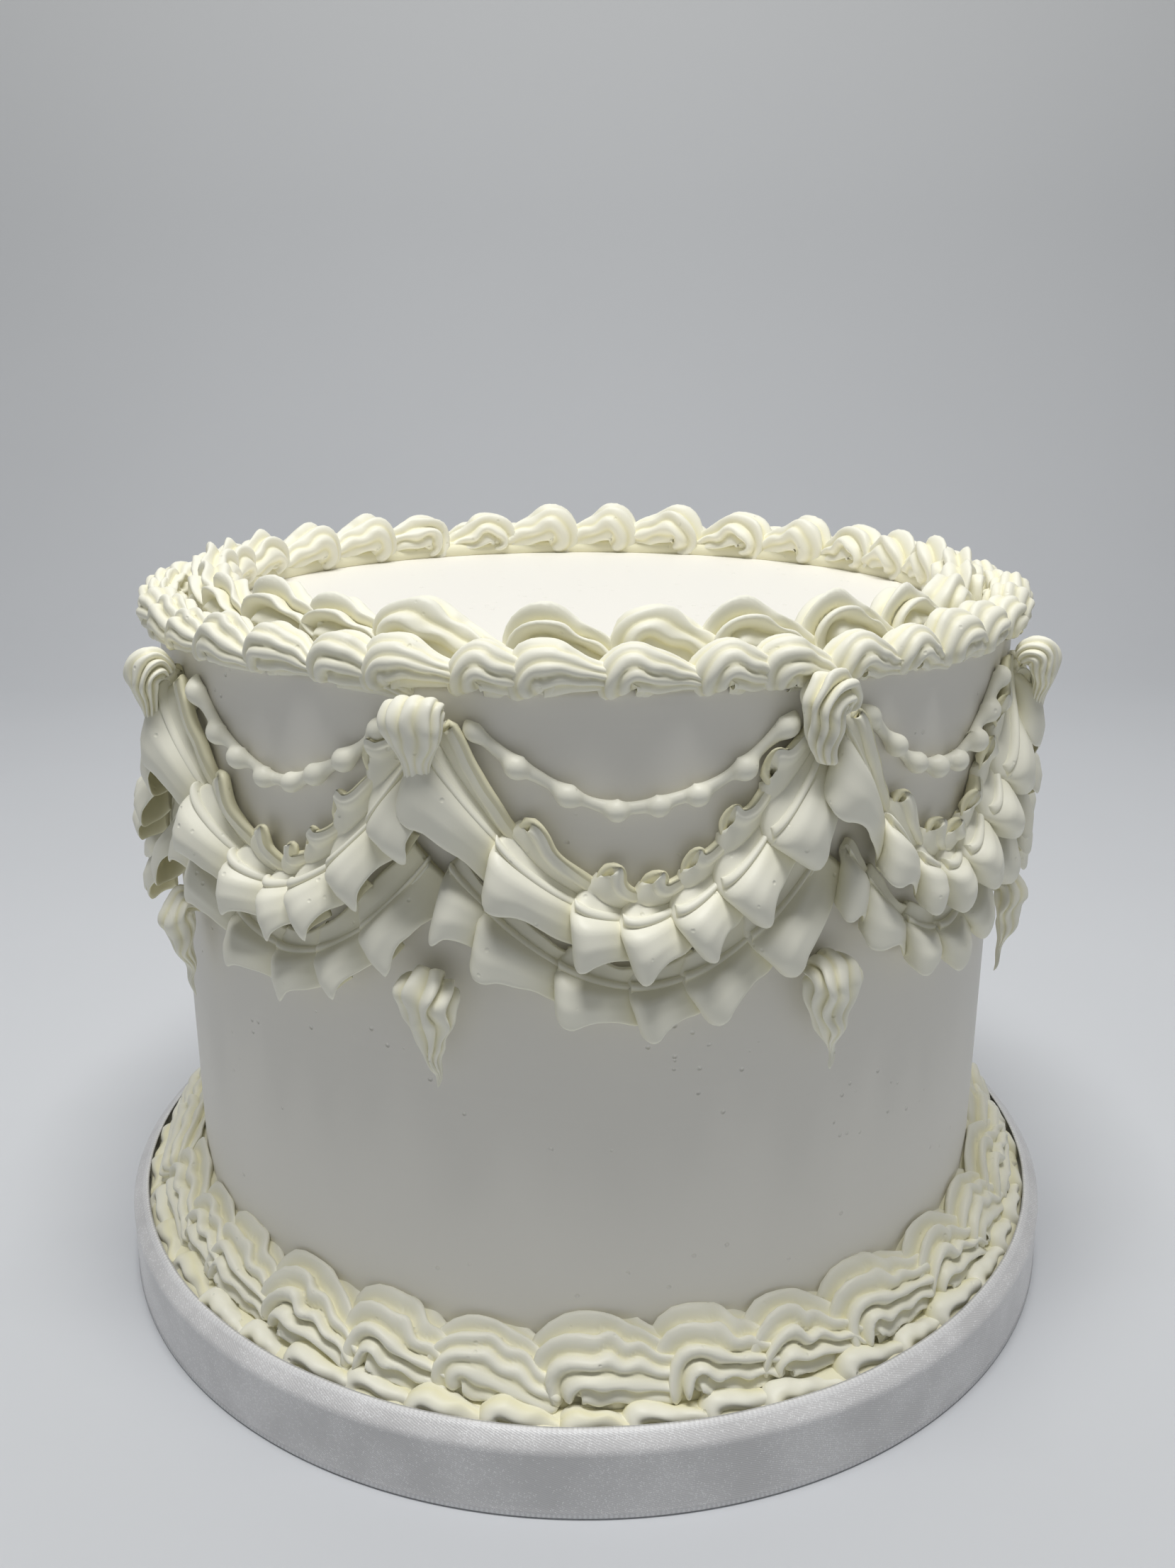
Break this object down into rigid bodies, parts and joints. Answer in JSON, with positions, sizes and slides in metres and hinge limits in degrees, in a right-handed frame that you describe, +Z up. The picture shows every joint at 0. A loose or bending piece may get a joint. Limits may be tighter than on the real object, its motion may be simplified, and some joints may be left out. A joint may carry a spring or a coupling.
{
  "type": "cake",
  "caption": "Round white buttercream celebration cake with piped swags, beaded strings, drops and shell borders, on a drum board edged with satin ribbon.",
  "frame": {"origin": "middle of the drum board's underside", "axes": "+Z up, the side seen in the picture faces -Y"},
  "size_m": [0.2032, 0.2032, 0.1491],
  "materials": {
    "buttercream": "soft satin, ivory white",
    "board_foil": "embossed silver foil",
    "white_satin": "white satin weave"
  },
  "bodies": {
    "root": {"drum_board": "board_foil", "satin_ribbon": "white_satin", "iced_cake": "buttercream", "top_outer_shells": "buttercream", "top_inner_shells": "buttercream", "base_shells": "buttercream", "board_rim_curls": "buttercream", "upper_ruffle_1": "buttercream", "upper_ruffle_2": "buttercream", "upper_ruffle_3": "buttercream", "upper_ruffle_4": "buttercream", "upper_ruffle_5": "buttercream", "upper_ruffle_6": "buttercream", "upper_ruffle_7": "buttercream", "upper_ruffle_8": "buttercream", "upper_ruffle_9": "buttercream", "lower_ruffle_1": "buttercream", "lower_ruffle_2": "buttercream", "lower_ruffle_3": "buttercream", "lower_ruffle_4": "buttercream", "lower_ruffle_5": "buttercream", "lower_ruffle_6": "buttercream", "lower_ruffle_7": "buttercream", "lower_ruffle_8": "buttercream", "lower_ruffle_9": "buttercream", "bead_string_1": "buttercream", "bead_string_2": "buttercream", "bead_string_3": "buttercream", "bead_string_4": "buttercream", "bead_string_5": "buttercream", "bead_string_6": "buttercream", "bead_string_7": "buttercream", "bead_string_8": "buttercream", "bead_string_9": "buttercream", "join_shell_1": "buttercream", "join_shell_2": "buttercream", "join_shell_3": "buttercream", "join_shell_4": "buttercream", "join_shell_5": "buttercream", "join_shell_6": "buttercream", "join_shell_7": "buttercream", "join_shell_8": "buttercream", "join_shell_9": "buttercream", "hanging_drop_1": "buttercream", "hanging_drop_2": "buttercream", "hanging_drop_3": "buttercream", "hanging_drop_4": "buttercream", "hanging_drop_5": "buttercream", "hanging_drop_6": "buttercream", "hanging_drop_7": "buttercream", "hanging_drop_8": "buttercream", "hanging_drop_9": "buttercream"}
  },
  "joints": []
}
